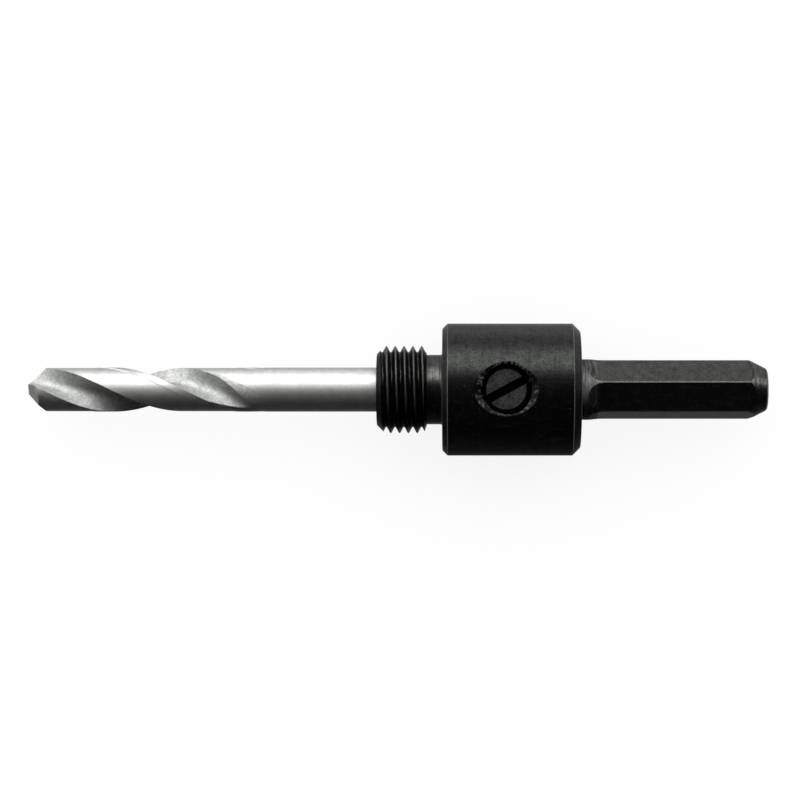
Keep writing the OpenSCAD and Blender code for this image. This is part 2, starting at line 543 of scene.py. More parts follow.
@dataclass(frozen=True)
class BlackOxide:
    """Oiled black-oxide finish over turned and milled steel.

    Attributes:
        name: The material's name.
        dark: Colour of the finish.
        bare: Colour of the steel under it.
        tint: Tint of its reflections.
        gloss: Reflectance of the finish seen head on, where it is sound and where it has rubbed thin.
        zones: Strength of the gloss along the arbor, as a start and its changes.
        streaks: Strength of the turning marks along the arbor, as a start and its changes.
        roughness: Middle roughness.
        marks: Turning marks in a millimetre.
        bump: Strength of the fine relief.
        recess_z: Height below which the gloss is dimmed, painted shade in the screw's slot.
    """

    name: str = "black_oxide_steel"
    dark: tuple[float, float, float, float] = (0.0008, 0.0009, 0.0008, 1)
    bare: tuple[float, float, float, float] = (0.50, 0.50, 0.48, 1)
    tint: tuple[float, float, float, float] = (0.95, 1.0, 0.94, 1)
    gloss: tuple[float, float] = (0.008, 0.030)
    zones: tuple[tuple[float, float], ...] = ((-2.3, 1.3), (0.0, -1.15), (19.8, 1.9), (22.3, -0.55))
    streaks: tuple[tuple[float, float], ...] = ((0.0, -0.45), (19.8, 2.2), (22.1, -2.35), (43.9, 0.8))
    roughness: float = 0.30
    marks: float = 9.0
    bump: float = 0.25
    recess_z: float = -99.0

    def material(self) -> bpy.types.Material:
        """Makes the finish.

        Returns:
            The material.
        """
        graph = Graph(self.name)
        swept, position, along = graph.turned(self.marks, 1.1)
        rings = graph.math("SUBTRACT", graph.noise(swept, 1.0, 3.0, 0.6), 0.5)
        rings = graph.math("MULTIPLY", rings, graph.steps(along, 0.75, self.streaks))
        drawn = graph.add("ShaderNodeMapping", None, Vector=position, Scale=(0.8, 9.0, 9.0)).outputs[0]
        grain = graph.noise(drawn, 1.0, 3.0, 0.65)
        patches = graph.noise(position, 0.9, 4.0, 0.65)
        fine = graph.noise(position, 4.2, 4.0, 0.75)
        first = graph.scratches(position, (10, 0, 24), 26.0, 0.35, 0.70)
        second = graph.scratches(position, (-20, 12, -63), 30.0, 0.5, 0.72)
        scratched = graph.math("MAXIMUM", first, second)
        specks = graph.span(graph.noise(position, 5.0, 2.0, 0.6), 0.685, 0.72)
        stains = graph.span(graph.noise(position, 3.1, 3.0, 0.7), 0.60, 0.68, 1.0, 0.6)
        chafed = graph.span(graph.noise(position, 8.0, 2.0, 0.6), 0.30, 0.62, 0.35, 1.0)
        chafed = graph.math("ADD", chafed, graph.math("MULTIPLY", rings, 1.6), clamp=True)
        wear = graph.attribute(WEAR)
        specks = graph.math("MULTIPLY", specks, graph.span(wear, -0.04, -0.01))
        # worn also carries the painted highlights of bare metal set through the wear attribute.
        worn = graph.math("MULTIPLY", graph.math("MAXIMUM", wear, 0.0), chafed, clamp=True)
        mottle = graph.math("MULTIPLY_ADD", patches, 0.28, graph.math("MULTIPLY", fine, 0.55))
        thin = graph.math("ADD", rings, graph.math("MULTIPLY_ADD", grain, 0.20, mottle))
        gloss = graph.span(thin, 0.40, 0.63, self.gloss[0] / 0.08, self.gloss[1] / 0.08)
        # Painted shade: the gloss is dimmed below recess_z and where the wear is negative, in the hole and
        # on the screw's thread.
        height = graph.add("ShaderNodeSeparateXYZ", None, Vector=position).outputs[2]
        sunk_shade = graph.span(height, self.recess_z - 0.15, self.recess_z, 0.08, 1.0)
        painted_shade = graph.span(wear, -1.0, 0.0, 0.06, 1.0)
        for share in (stains, graph.steps(along, 0.9, self.zones), sunk_shade, painted_shade):
            gloss = graph.math("MULTIPLY", gloss, share)
        nicks = graph.math("MULTIPLY", scratched, 0.05)
        bared = graph.math("MAXIMUM", nicks, graph.math("MULTIPLY", specks, 0.10))
        bared = graph.math("MAXIMUM", bared, graph.math("MULTIPLY", worn, 0.8))
        rough = graph.span(thin, 0.3, 0.7, self.roughness + 0.05, self.roughness - 0.05)
        rough = graph.math("MULTIPLY_ADD", worn, 0.15, rough)
        rough = graph.math("ADD", rough, graph.steps(along, 0.0, ((19.8, 0.20), (22.3, -0.20))))
        relief = graph.math("MULTIPLY_ADD", rings, 0.9, graph.math("MULTIPLY", fine, 0.3))
        relief = graph.math("SUBTRACT", relief, graph.math("MULTIPLY", scratched, 0.4))
        bump = graph.add("ShaderNodeBump", None, Strength=self.bump, Distance=0.00003, Height=relief)
        shader = graph.add(
            "ShaderNodeBsdfPrincipled", None,
            Base_Color=graph.blend(bared, self.dark, self.bare), Metallic=bared, Roughness=rough,
            Specular_IOR_Level=gloss, Specular_Tint=self.tint, Normal=bump.outputs[0],
        )
        return graph.finish(shader)


@dataclass(frozen=True)
class GroundSteel:
    """Bright ground finish of the pilot drill, where the wear attribute tells how coarsely it is ground.

    Attributes:
        bright: Colour of the clean steel.
        dull: Colour of the duller patches.
        pit: Colour inside the small pits.
        roughness: Middle roughness.
        flute_tone: Brightness of the flutes, which are ground rougher than the lands, against the lands'.
        pit_share: Share of the pits' places that hold a pit.
    """

    bright: tuple[float, float, float, float] = (0.59, 0.60, 0.58, 1)
    dull: tuple[float, float, float, float] = (0.47, 0.48, 0.47, 1)
    pit: tuple[float, float, float, float] = (0.06, 0.06, 0.055, 1)
    roughness: float = 0.49
    flute_tone: float = 0.80
    pit_share: float = 0.24

    def material(self) -> bpy.types.Material:
        """Makes the finish.

        Returns:
            The material.
        """
        graph = Graph("bright_steel")
        swept, position, _ = graph.turned(7.0, 0.8)
        rings = graph.noise(swept, 1.0, 3.0, 0.6)
        patches = graph.noise(position, 0.8, 3.0, 0.65)
        grain = graph.noise(position, 9.0, 3.0, 0.7)
        scratched = graph.scratches(position, (0, 15, -38), 22.0, 0.4, 0.72)
        cells = graph.add("ShaderNodeTexVoronoi", None, Vector=position, Scale=1.1)
        near = graph.span(cells.outputs["Distance"], 0.11, 0.05)
        chosen = graph.add("ShaderNodeSeparateColor", None, Color=cells.outputs["Color"]).outputs[0]
        pits = graph.math("MULTIPLY", near, graph.span(chosen, 1 - self.pit_share, 1.01 - self.pit_share))
        mixed = graph.math("MULTIPLY_ADD", rings, 0.15, graph.math("MULTIPLY", patches, 0.85))
        base = graph.blend(graph.span(mixed, 0.40, 0.72), self.bright, self.dull)
        base = graph.blend(graph.math("MULTIPLY", pits, 0.8), base, self.pit)
        coarse = graph.attribute(WEAR)
        stains = graph.span(graph.noise(position, 2.6, 4.0, 0.75), 0.42, 0.62, 0.8, 1.15)
        tone = graph.math("MULTIPLY", stains, self.flute_tone)
        tone = graph.math("MULTIPLY_ADD", coarse, graph.math("SUBTRACT", tone, 1.0), 1.0)
        base = graph.tinted(base, tone)
        rough = graph.span(mixed, 0.3, 0.7, self.roughness - 0.03, self.roughness + 0.05)
        rough = graph.math("MULTIPLY_ADD", scratched, 0.06, rough)
        rough = graph.math("MULTIPLY_ADD", coarse, 0.15, rough)
        relief = graph.math("MULTIPLY_ADD", rings, 0.10, graph.math("MULTIPLY", grain, 0.22))
        relief = graph.math("MULTIPLY_ADD", graph.math("MULTIPLY", stains, coarse), 0.9, relief)
        relief = graph.math("SUBTRACT", relief, graph.math("MULTIPLY", pits, 1.4))
        bump = graph.add("ShaderNodeBump", None, Strength=0.12, Distance=0.00003, Height=relief)
        shader = graph.add(
            "ShaderNodeBsdfPrincipled", None,
            Base_Color=base, Metallic=1.0, Roughness=rough, Normal=bump.outputs[0],
        )
        return graph.finish(shader)


@dataclass
class ArborBody:
    """Threaded nose, collar and hex shank, with the drill's bore and the tapped hole.

    Places run along the arbor from the collar's front. The angles nose_lit and neck_lit are the middles of
    the painted highlights, bare metal put on the lit side of the nose's crests and along the top of the
    neck.
    """

    collar_r: float = 9.5
    collar_l: float = 19.8
    front_chamfer: float = 0.75
    back_chamfer: float = 1.1
    nose_front: float = -9.4
    nose_back: float = -2.2
    nose_lead: float = 1.2
    run_out_slope: float = 3.0
    relief_r: float = 5.0
    neck_fillet: float = 0.35
    shank_r: float = 4.36
    shank_end: float = 46.7
    corner_step: float = 1.2
    hex_start: float = 23.07
    neck_gap: float = 2.4
    cutter_r: float = 5.0
    hex_turn: float = 14.3
    tip_r: float = 2.95
    tip_l: float = 2.76
    bore_r: float = 3.215
    bore_end: float = 16.8
    bore_mouth: float = 0.35
    edge: float = 0.09
    end_round: float = 0.28
    nose_lit: float = 50.0
    neck_lit: float = 14.0
    around: int = 240
    run_out_steps: int = 40
    cone_steps: int = 20
    round_steps: int = 8
    thread: Thread = field(default_factory=lambda: Thread(6.27, 5.40, 1.27, -5.515))
    thread_step: float = 0.07

    @property
    def hex_half(self) -> float:
        """Returns half the distance across flats, which leaves a narrow turned strip on each corner."""
        return self.shank_r * math.cos(math.radians(30 - self.corner_step))

    @property
    def neck_end(self) -> float:
        """Returns the place just before the milled flats begin behind the collar."""
        return self.hex_start - self.neck_gap

    @property
    def front_r(self) -> float:
        """Returns the radius at which the nose's lead begins."""
        return self.thread.crest_r + 0.06 - self.nose_lead

    def nose_radius(self, along: float, angle: float) -> float:
        """Gives the nose's radius with its thread, its lead and its run-out.

        Args:
            along: Place along the arbor.
            angle: Angle from +Z towards +Y, in radians.

        Returns:
            The radius.
        """
        threaded = self.thread.radius_at(along, math.pi / 2 - angle)
        lead = self.front_r + along - self.nose_front
        run_out = self.relief_r + (self.nose_back - along) * self.run_out_slope
        return min(threaded, lead, run_out)

    def nose_crest_highlight(self, along: float, angle: float) -> float:
        """Gives bare metal on the thread's crests, on the lit side only, as a painted highlight.

        Args:
            along: Place along the arbor.
            angle: Angle from +Z towards +Y, in radians.

        Returns:
            The share of bare metal, a painted highlight carried as wear.
        """
        depth = self.thread.crest_r - self.thread.root_r
        share = (self.nose_radius(along, angle) - self.thread.root_r) / depth
        # Painted highlight: bare metal on the crests only towards nose_lit, the middle of the lit side.
        lit = max(0.0, math.cos(angle - math.radians(self.nose_lit))) ** 2
        return 0.3 * lit * min(1.0, max(0.0, (share - 0.85) / 0.15))

    def corner_wear_and_highlight(self, along: float, angle: float) -> float:
        """Gives the wear of the strips between the flats, with more bare metal on the one nearest +Z as a
        painted highlight.

        Args:
            along: Place along the arbor.
            angle: Angle from +Z towards +Y, in radians.

        Returns:
            The wear.
        """
        off = (math.degrees(angle) - self.hex_turn) % 60
        off = min(off, 60 - off)
        if along < self.hex_start - 0.5 or off > self.corner_step * 1.1:
            return 0.0
        # The strip nearest +Z gets more bare metal as a painted highlight; the others keep a little real
        # wear.
        return 0.45 if abs(math.degrees(angle) % 360 - self.hex_turn) < 5 else 0.1

    def neck_wear_and_highlight(self, along: float, angle: float) -> float:
        """Gives a painted highlight of bare metal along the top of the turned neck, and the strips' wear and
        painted highlight.

        Args:
            along: Place along the arbor.
            angle: Angle from +Z towards +Y, in radians.

        Returns:
            The share of bare metal, carried as wear.
        """
        bared = abs(self.shank_radius(along, angle) - self.shank_r) < 0.01
        # Painted highlight: bare metal in a narrow band towards neck_lit on the turned neck.
        top_highlight = 0.42 * max(0.0, math.cos(angle - math.radians(self.neck_lit))) ** 10
        return max(self.corner_wear_and_highlight(along, angle), top_highlight if bared else 0.0)

    def flat_radius(self, along: float, angle: float, limit: float) -> float:
        """Gives the shank's radius with its milled flats.

        Args:
            along: Place along the arbor.
            angle: Angle from +Z towards +Y, in radians.
            limit: The turned radius there.

        Returns:
            The radius.
        """
        off = (angle - math.radians(self.hex_turn + 30)) % (math.pi / 3)
        off = min(off, math.pi / 3 - off)
        before = max(0.0, self.hex_start - along)
        if before >= self.cutter_r:
            return limit
        lifted = self.cutter_r - math.sqrt(self.cutter_r**2 - before**2)
        return min(limit, (self.hex_half + lifted) / math.cos(off))

    def shank_radius(self, along: float, angle: float) -> float:
        """Returns the shank's radius up to its end's cone."""
        return self.flat_radius(along, angle, self.shank_r)

    def cone_radius(self, along: float, angle: float) -> float:
        """Gives the radius of the cone at the shank's end.

        Args:
            along: Place along the arbor.
            angle: Angle from +Z towards +Y, in radians.

        Returns:
            The radius.
        """
        slope = (self.shank_r - self.tip_r) / self.tip_l
        limit = self.shank_r - slope * max(0.0, along - self.shank_end + self.tip_l)
        from_end = self.shank_end - along
        if from_end < self.end_round:
            limit -= self.end_round - math.sqrt(self.end_round**2 - (self.end_round - from_end) ** 2)
        return self.flat_radius(along, angle, limit)

    def outline(self) -> list[Station]:
        """Works out the body's outline.

        Returns:
            The stations, from the bore's bottom round the nose and the collar to the shank's end.
        """
        mouth_r = self.bore_r + self.bore_mouth
        stations = [
            Station(self.bore_end + self.bore_r * 0.6, 0.0),
            Station(self.bore_end, self.bore_r),
            Station(self.nose_front + self.bore_mouth, self.bore_r),
            Station(self.nose_front + 0.02, mouth_r - 0.02, 0.5),
            Station(self.nose_front, mouth_r, 0.5),
            Station(self.nose_front, (mouth_r + self.front_r) / 2),
            Station(self.nose_front, self.front_r - 0.1),
        ]
        rings = round((self.nose_back - self.nose_front) / self.thread_step)
        for ring in range(rings + 1):
            along = self.nose_front + (self.nose_back - self.nose_front) * ring / rings
            stations.append(Station(along, self.nose_radius, self.nose_crest_highlight))
        collar = rounded_outline(
            [
                (self.nose_back, self.relief_r, 0),
                (0, self.relief_r, self.neck_fillet),
                (0, self.collar_r - self.front_chamfer, self.edge),
                (self.front_chamfer, self.collar_r, self.edge),
                (self.collar_l - self.back_chamfer, self.collar_r, self.edge),
                (self.collar_l, self.collar_r - self.back_chamfer, self.edge),
                (self.collar_l, self.shank_r, self.neck_fillet),
                (self.neck_end, self.shank_r, 0),
            ],
            wear=0.32,
        )
        for station in collar[1:]:
            if station.along > self.collar_l:
                stations.append(Station(station.along, station.radius, self.neck_wear_and_highlight))
            elif station.along > 0 or station.radius > self.relief_r + 1:
                stations.append(station)
            else:
                stations.append(Station(station.along, station.radius))
        return stations + self.shank_outline()

    def shank_outline(self) -> list[Station]:
        """Works out the outline of the shank behind the neck.

        Returns:
            The stations of its milled length and its end.
        """
        stations: list[Station] = []
        for step in range(self.run_out_steps + 1):
            along = self.neck_end + self.neck_gap * step / self.run_out_steps
            stations.append(Station(along, self.shank_radius, self.neck_wear_and_highlight))
        cone_start = self.shank_end - self.tip_l
        plain = [self.hex_start + away for away in (1, 6, 12)] + [cone_start - away for away in (1, 0.06)]
        for along in plain:
            stations.append(Station(along, self.shank_radius, self.corner_wear_and_highlight))
        for step in range(self.cone_steps + 1):
            along = cone_start + (self.tip_l - self.end_round) * step / self.cone_steps
            stations.append(Station(along, self.cone_radius))
        for step in range(1, self.round_steps + 1):
            t = step / self.round_steps
            along = self.shank_end - self.end_round * (1 - math.sin(math.pi / 2 * t))
            stations.append(Station(along, self.cone_radius, 0.4 * math.sin(math.pi * t)))
        stations += [Station(self.shank_end, self.tip_r * 0.5), Station(self.shank_end, 0.0)]
        return stations

    def build(self, hole: "TappedHole") -> bpy.types.Object:
        """Builds the body.

        Args:
            hole: The tapped hole that is cut into it.

        Returns:
            The piece.
        """
        first_angle = math.radians(self.hex_turn % (360 / self.around))
        skin = turned_skin(self.outline(), self.around, Axis.ARBOR, first_angle=first_angle)
        made = finished_object("arbor_steel_body", skin)
        carve(made, hole.cutter())
        shade(made, 22)
        return made


@dataclass
class TappedHole:
    """Tapped hole through the collar's crown, with its countersink.

    Its angles are the middles of two painted highlights of bare metal on the countersink, a patch and an
    arc, and the share after them tells how far the gloss of the rest is dimmed as painted shade.
    """

    place_x: float = 9.1
    bottom: float = 0.4
    crown: float = 9.5
    rim_r: float = 4.575
    thread: Thread = field(default_factory=lambda: Thread(3.4, 4.0, 1.25, 0.3, 0.2, 0.12))
    thread_from: float = 2.7
    mouth_r: float = 3.66
    mouth_from: float = 7.35
    patch_angle: float = -40.0
    arc_angle: float = 190.0
    rim_shade: float = 0.88
    around: int = 120
    step: float = 0.09

    @property
    def sink_bottom(self) -> float:
        """Returns the height at which the countersink meets the hole."""
        return self.crown - self.rim_r + self.mouth_r

    def cutter(self) -> bpy.types.Object:
        """Makes the shape of the hole with its thread.

        Returns:
            The cutter.
        """
        stations = [
            Station(self.bottom, 0.0, -1.0),
            Station(self.bottom, self.thread.crest_r, -1.0),
            Station(self.thread_from, self.thread.crest_r, -1.0),
        ]
        count = round((self.sink_bottom + 0.55 - self.thread_from) / self.step)
        for ring in range(1, count):
            along = self.thread_from + self.step * ring
            stations.append(Station(along, self.hole_radius, self.rim_highlight_and_shade))
        stations += [
            Station(self.sink_bottom + 0.7, self.hole_radius, self.rim_highlight_and_shade),
            Station(self.crown, self.rim_r, self.rim_highlight_and_shade),
            Station(self.crown + 1, self.rim_r + 1, self.rim_highlight_and_shade),
            Station(self.crown + 1, 0.0),
        ]
        skin = turned_skin(stations, self.around, Axis.SCREW, Vector((self.place_x, 0, 0)))
        return finished_object("hole_cutter", skin)

    def hole_radius(self, along: float, angle: float) -> float:
        """Gives the hole's radius with its thread, or the countersink's where that is wider.

        Args:
            along: Height above the arbor's axis.
            angle: Angle round the hole, in radians.

        Returns:
            The radius.
        """
        mouth = self.mouth_r if along > self.mouth_from else 0.0
        return max(self.thread.radius_at(along, angle), mouth, self.rim_r - self.crown + along)

    def rim_highlight_and_shade(self, along: float, angle: float) -> float:
        """Gives the countersink's painted highlights and painted shade, carried as wear.

        Args:
            along: Height above the arbor's axis.
            angle: Angle round the hole from +X towards +Y, in radians.

        Returns:
            A painted highlight of bare metal towards the shank and -Y and on a thin arc towards the drill,
            and painted shade elsewhere.
        """
        above = along - self.sink_bottom
        if above < -0.02:
            return -1.0
        # Painted highlights: bare metal in a patch and an arc; the rest and the hole get negative wear,
        # painted shade.
        patch = max(0.0, math.cos(angle - math.radians(self.patch_angle))) ** 16
        arc = max(0.0, math.cos(angle - math.radians(self.arc_angle))) ** 5 if above < 0.2 else 0.0
        rubbed = max(1.5 * patch, 0.6 * arc)
        return rubbed if rubbed > 0.05 else -self.rim_shade


@dataclass
class SetScrew:
    """Slotted set screw with a flat point."""

    place_x: float = 9.1
    top: float = 8.0
    bottom: float = 3.195
    face_r: float = 2.825
    point_r: float = 2.75
    slot_w: float = 1.25
    slot_depth: float = 1.7
    slot_turn: float = 28.5
    thread: Thread = field(default_factory=lambda: Thread(3.93, 3.28, 1.25, 0.925))
    around: int = 120
    step: float = 0.08

    def radius(self, along: float, angle: float) -> float:
        """Gives the screw's radius with its thread and its chamfers.

        Args:
            along: Height above the arbor's axis.
            angle: Angle round the screw, in radians.

        Returns:
            The radius.
        """
        face = self.face_r + (self.top - along)
        point = self.point_r + (along - self.bottom)
        return min(self.thread.radius_at(along, angle), face, point)

    def build(self) -> bpy.types.Object:
        """Builds the screw.

        Returns:
            The piece.
        """
        count = round((self.top - self.bottom) / self.step)
        stations = [Station(self.bottom, 0.0), Station(self.bottom, self.point_r * 0.5)]
        for ring in range(count + 1):
            along = self.bottom + (self.top - self.bottom) * ring / count
            # A wear of -1 on the thread is painted shade that dims its gloss in the hole; the face keeps 0.
            stations.append(Station(along, self.radius, 0.0 if ring == count else -1.0))
        stations += [Station(self.top, self.face_r * 0.6), Station(self.top, 0.0)]
        skin = turned_skin(stations, self.around, Axis.SCREW, Vector((self.place_x, 0, 0)))
        made = finished_object("slotted_set_screw", skin)
        carve(made, self.slot_cutter())
        shade(made, 32)
        return made

    def slot_cutter(self) -> bpy.types.Object:
        """Makes the shape of the screwdriver slot.

        Returns:
            The cutter.
        """
        bm = bmesh.new()
        bmesh.ops.create_cube(bm, size=1.0)
        height = self.slot_depth + 1
        bmesh.ops.scale(bm, vec=Vector((12, self.slot_w, height)) * MM, verts=bm.verts)
        rise = self.top - self.slot_depth + height / 2
        bmesh.ops.rotate(bm, matrix=Matrix.Rotation(math.radians(self.slot_turn), 3, "Z"), verts=bm.verts)
        bmesh.ops.translate(bm, vec=Vector((self.place_x, 0, rise)) * MM, verts=bm.verts)
        return finished_object("slot_cutter", bm)


@dataclass
class PilotDrill:
    """Two-flute right-hand twist drill.

    The drill is worked out about an axis with its tip at 0, and distances run back from the tip.
    A section's angle 0 is the first leading edge, and the flute lies ahead of it. The skin starts a little
    before the tip, because the point is ground out of it, and a flute's outline overshoots its edges.
    """

    tip_x: float = -59.6
    radius: float = 3.175
    length: float = 76.2
    flute_l: float = 34.0
    runout_l: float = 10.0
    helix_pitch: float = 40.5
    turn: float = 20.9
    flute_angle: float = 87.0
    lip_opening: float = 8.0
    heel_opening: float = 8.0
    floor_reach: float = 0.87
    web_t: float = 1.3
    web_taper: float = 0.015
    margin_w: float = 1.1
    margin_h: float = 0.06
    point_angle: float = 126.0
    lip_relief: float = 17.0
    heel_relief: float = 47.0
    heel_start: float = 0.65
    end_chamfer: float = 0.4
    lift_angle: float = -23.0
    lift_full: float = 3.4
    clearance_fade: float = 2.0
    flute_steps: int = 44
    land_steps: int = 22
    margin_steps: int = 8
    curve_steps: int = 60
    ring_step: float = 0.22
    skin_start: float = -0.4
    overshoot: float = 0.35
    fade_gap: float = 0.02

    @property
    def mouth(self) -> float:
        """Returns how far from the axis the point lies that a flute's outline is swept from."""
        return 1.6 * self.radius

    @property
    def around(self) -> int:
        """Returns the number of points round a section."""
        return 2 * (self.flute_steps + 1 + self.land_steps + self.margin_steps)

    def ground(self, back: float) -> float:
        """Returns the share of the full grinding, from 1 along the flutes to 0 at the plain shank."""
        return min(1.0, max(0.0, self.flute_l - back) / self.clearance_fade)

    def flute_outline(self, back: float) -> list[Vector]:
        """Gives the outline of one flute, with the middle of its mouth along X.

        Args:
            back: Distance behind the tip.

        Returns:
            Points in over the lip's edge, round the floor and out over the heel's edge.
        """
        half = math.radians(self.flute_angle) / 2
        reach = self.radius * self.floor_reach - self.web_taper * back / 2
        starts = []
        for side, radius, opening in (
            (-1, self.radius, self.lip_opening), (1, self.radius - self.margin_h, self.heel_opening)
        ):
            edge = radius * Vector((math.cos(half), side * math.sin(half)))
            inward = side * (math.pi + half + math.radians(opening))
            starts.append((edge, Vector((math.cos(inward), math.sin(inward)))))
        (lip, from_lip), (heel, from_heel) = starts
        floor = [lip, lip + reach * from_lip, heel + reach * from_heel, heel]
        lifted = self.lift_full * (max(0.0, back - self.flute_l + self.runout_l) / self.runout_l) ** 2
        aim = math.radians(self.lift_angle)
        lift = lifted * Vector((math.cos(aim), math.sin(aim)))
        over = self.overshoot * self.radius
        curve = [lip - over * from_lip]
        for step in range(self.curve_steps + 1):
            t = step / self.curve_steps
            weights = ((1 - t) ** 3, 3 * t * (1 - t) ** 2, 3 * t * t * (1 - t), t**3)
            point = Vector((0, 0))
            for weight, control in zip(weights, floor):
                point += weight * control
            curve.append(point)
        curve.append(heel - over * from_heel)
        return [point + lift for point in curve]

    def seen(self, point: Vector) -> tuple[float, float]:
        """Returns the direction and the distance of a point as seen from the flute's mouth."""
        return math.atan2(point.y, self.mouth - point.x), (point - Vector((self.mouth, 0))).length

    def round_at(self, angle: float, radius: float) -> float:
        """Returns the distance from the flute's mouth to the near side of a circle round the axis."""
        aside = self.mouth * math.sin(angle)
        return self.mouth * math.cos(angle) - math.sqrt(max(0.0, radius**2 - aside**2))

    def section(self, back: float) -> list[Vector]:
        """Gives one section of the drill.

        Args:
            back: Distance behind the tip.

        Returns:
            Points round the section, turned to where the helix has brought it.
        """
        share = self.ground(back)
        margin_r = self.radius - self.fade_gap * (1 - share)
        land_r = margin_r - self.margin_h * share
        half = math.radians(self.flute_angle) / 2
        seen = sorted(self.seen(point) for point in self.flute_outline(back))
        edge = margin_r * Vector((math.cos(half), -math.sin(half)))
        heel = land_r * Vector((math.cos(half), math.sin(half)))
        first, last = self.seen(edge)[0], self.seen(heel)[0]
        points = [edge]
        for step in range(1, self.flute_steps):
            angle = first + (last - first) * step / self.flute_steps
            reach = max(self.round_at(angle, land_r), interpolate(seen, angle))
            points.append(Vector((self.mouth - reach * math.cos(angle), reach * math.sin(angle))))
        points.append(heel)
        margin_from = math.pi - half - self.margin_w / self.radius
        for step in range(1, self.land_steps + 1):
            angle = half + (margin_from - half) * step / self.land_steps
            points.append(land_r * Vector((math.cos(angle), math.sin(angle))))
        ramp = math.radians(1.2)
        for step in range(self.margin_steps):
            angle = margin_from + ramp + (math.pi - half - margin_from - ramp) * step / self.margin_steps
            points.append(margin_r * Vector((math.cos(angle), math.sin(angle))))
        turn = half + math.radians(self.turn) - math.tau * back / self.helix_pitch
        whole = []
        for side in (0, math.pi):
            spun = Matrix.Rotation(turn + side, 2)
            whole += [spun @ point for point in points]
        return whole

    def in_frame(self, x: float, y: float, back: float) -> Vector:
        """Returns a point of the drill in the arbor's frame."""
        return Vector((self.tip_x + back, y, x))

    def build(self) -> bpy.types.Object:
        """Builds the drill.

        Returns:
            The piece.
        """
        start = self.skin_start
        count = round((self.flute_l - start) / self.ring_step)
        backs = [start + (self.flute_l - start) * ring / count for ring in range(count + 1)]
        sections = [self.section(back) for back in backs]
        directions = [point.normalized() for point in sections[-1]]
        shank = (
            (self.flute_l + self.fade_gap, self.radius),
            (self.flute_l + 1, self.radius),
            (self.length - self.end_chamfer - 0.05, self.radius),
            (self.length - self.end_chamfer + 0.03, self.radius - 0.03),
            (self.length, self.radius - self.end_chamfer),
            (self.length, 0.0),
        )
        for back, radius in shank:
            backs.append(back)
            sections.append([radius * direction for direction in directions])

        def place(ring: int, step: int) -> tuple[Vector, float]:
            """Places one point.

            Args:
                ring: Number of its section.
                step: Number of the point in its section.

            Returns:
                Its position in millimetres, and how coarsely it is ground.
            """
            point = sections[ring][step]
            in_flute = step % (self.around // 2) <= self.flute_steps
            coarse = self.ground(backs[ring]) if in_flute else 0.0
            return self.in_frame(point.x, point.y, backs[ring]), coarse

        bm = wrap_grid(len(sections), self.around, place)
        self.grind_point(bm)
        made = finished_object("twist_pilot_drill", bm)
        shade(made, 28)
        return made

    def grind_point(self, bm: bmesh.types.BMesh) -> None:
        """Grinds the flank and the heel clearance behind each lip.

        Args:
            bm: The drill's skin, in metres.
        """
        half_point = math.radians(self.point_angle) / 2
        lip_depth = self.radius / math.tan(half_point)
        web_turn = math.asin(self.web_t / 2 / self.radius)
        turn = math.radians(self.turn) - web_turn - math.pi * lip_depth / self.helix_pitch
        flank = (1 / math.tan(half_point), -math.tan(math.radians(self.lip_relief)), 0.0)
        heel = (0.0, -math.tan(math.radians(self.heel_relief)), -self.heel_start)
        for side in (0, math.pi):
            spun = Matrix.Rotation(turn + side, 2)
            for along_x, along_y, start_y in (flank, heel):
                slope = spun @ Vector((along_x, along_y))
                start = spun @ Vector((0, start_y))
                cut = bmesh.ops.bisect_plane(
                    bm,
                    geom=bm.verts[:] + bm.edges[:] + bm.faces[:],
                    dist=1e-8,
                    plane_co=self.in_frame(start.x, start.y, 0) * MM,
                    plane_no=Vector((-1, slope.y, slope.x)),
                    clear_outer=True,
                )
                rim = [item for item in cut["geom_cut"] if isinstance(item, bmesh.types.BMEdge)]
                bmesh.ops.triangle_fill(bm, edges=rim, use_beauty=True)
        bmesh.ops.recalc_face_normals(bm, faces=bm.faces)


def studio_card(
    name: str,
    columns: Sequence[float],
    rows: Sequence[float],
    place: Callable[[float, float], tuple[Vector, float]],
    lamp: bool = False,
) -> bpy.types.Object:
    """Makes a studio card whose brightness may change over it. The camera doesn't see it.

    Args:
        name: The card's name.
        columns: The first coordinate of its grid's points.
        rows: The second coordinate of its grid's points.
        place: Gives a point's position in millimetres and its brightness, where 1 is white.
        lamp: Whether it lights the scene. If not, it only shows in reflections.

    Returns:
        The card.
    """
    bm = bmesh.new()
    glow = bm.verts.layers.float.new(GLOW)
    bmesh.ops.create_grid(bm, x_segments=len(columns) - 1, y_segments=len(rows) - 1, size=1.0)
    for vert in bm.verts:
        column = columns[round((vert.co.x + 1) / 2 * (len(columns) - 1))]
        row = rows[round((vert.co.y + 1) / 2 * (len(rows) - 1))]
        point, bright = place(column, row)
        vert.co = point * MM
        vert[glow] = bright
    made = finished_object(name, bm)
    graph = Graph(name)
    glowing = graph.add("ShaderNodeEmission", None, Strength=graph.attribute(GLOW))
    made.data.materials.append(graph.finish(glowing))
    made.visible_camera = False
    made.visible_diffuse = lamp
    made.visible_glossy = not lamp
    made.visible_shadow = False
    made.visible_transmission = False
    return made


